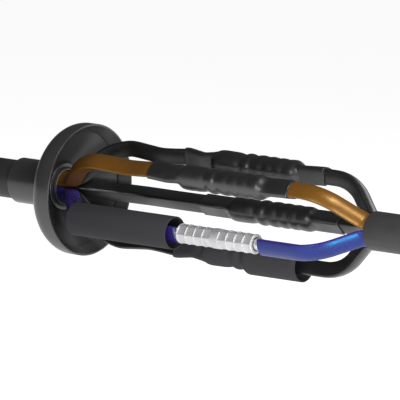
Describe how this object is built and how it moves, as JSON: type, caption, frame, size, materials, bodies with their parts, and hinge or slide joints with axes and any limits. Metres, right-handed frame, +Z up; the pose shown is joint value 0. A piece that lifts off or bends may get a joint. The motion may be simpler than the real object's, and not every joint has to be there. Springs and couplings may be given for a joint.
{
  "type": "straight cable joint",
  "caption": "Straight joint between two power cables, laid open: dished end cap, sector cores fanned out in a cage, crimped compression connectors and heat-shrink sleeves.",
  "frame": {"origin": "on the cable axis, in the plane of the end cap's lip", "axes": "+X along the cable axis towards the right cable, +Z up, +Y away from the viewer"},
  "size_m": [0.564, 0.134, 0.134],
  "materials": {
    "cable_sheath": "satin extruded sheath",
    "binder_tape": "matte tape",
    "cap_plastic": "smooth moulded plastic with a soft gloss",
    "insulation_brown": "satin extruded insulation",
    "insulation_blue": "satin extruded insulation",
    "insulation_black": "satin extruded insulation",
    "conductor_aluminium": "bare stranded conductor, compacted",
    "connector_aluminium": "matte drawn tube with bright crimp edges",
    "shrink_sleeve": "smooth heat-shrink tube with a soft gloss"
  },
  "bodies": {
    "root": {"sheath_left": "cable_sheath", "sheath_right": "cable_sheath", "core_tape_left": "binder_tape", "core_tape_right": "binder_tape", "end_cap": "cap_plastic", "core_black_top_left": "insulation_black", "core_brown_left": "insulation_brown", "core_blue_left": "insulation_blue", "core_black_bottom_left": "insulation_black", "core_black_rear_left": "insulation_black", "core_black_top_right": "insulation_black", "core_brown_right": "insulation_brown", "core_blue_right": "insulation_blue", "core_black_bottom_right": "insulation_black", "core_black_rear_right": "insulation_black", "conductor_black_top_left": "conductor_aluminium", "conductor_brown_left": "conductor_aluminium", "conductor_blue_left": "conductor_aluminium", "conductor_black_bottom_left": "conductor_aluminium", "conductor_black_rear_left": "conductor_aluminium", "conductor_black_top_right": "conductor_aluminium", "conductor_brown_right": "conductor_aluminium", "conductor_blue_right": "conductor_aluminium", "conductor_black_bottom_right": "conductor_aluminium", "conductor_black_rear_right": "conductor_aluminium", "connector_black_top": "connector_aluminium", "connector_brown": "connector_aluminium", "connector_blue": "connector_aluminium", "connector_black_bottom": "connector_aluminium", "connector_black_rear": "connector_aluminium", "sleeve_black_top": "shrink_sleeve", "sleeve_brown": "shrink_sleeve", "sleeve_blue": "shrink_sleeve", "sleeve_black_bottom": "shrink_sleeve", "sleeve_black_rear": "shrink_sleeve"}
  },
  "joints": []
}
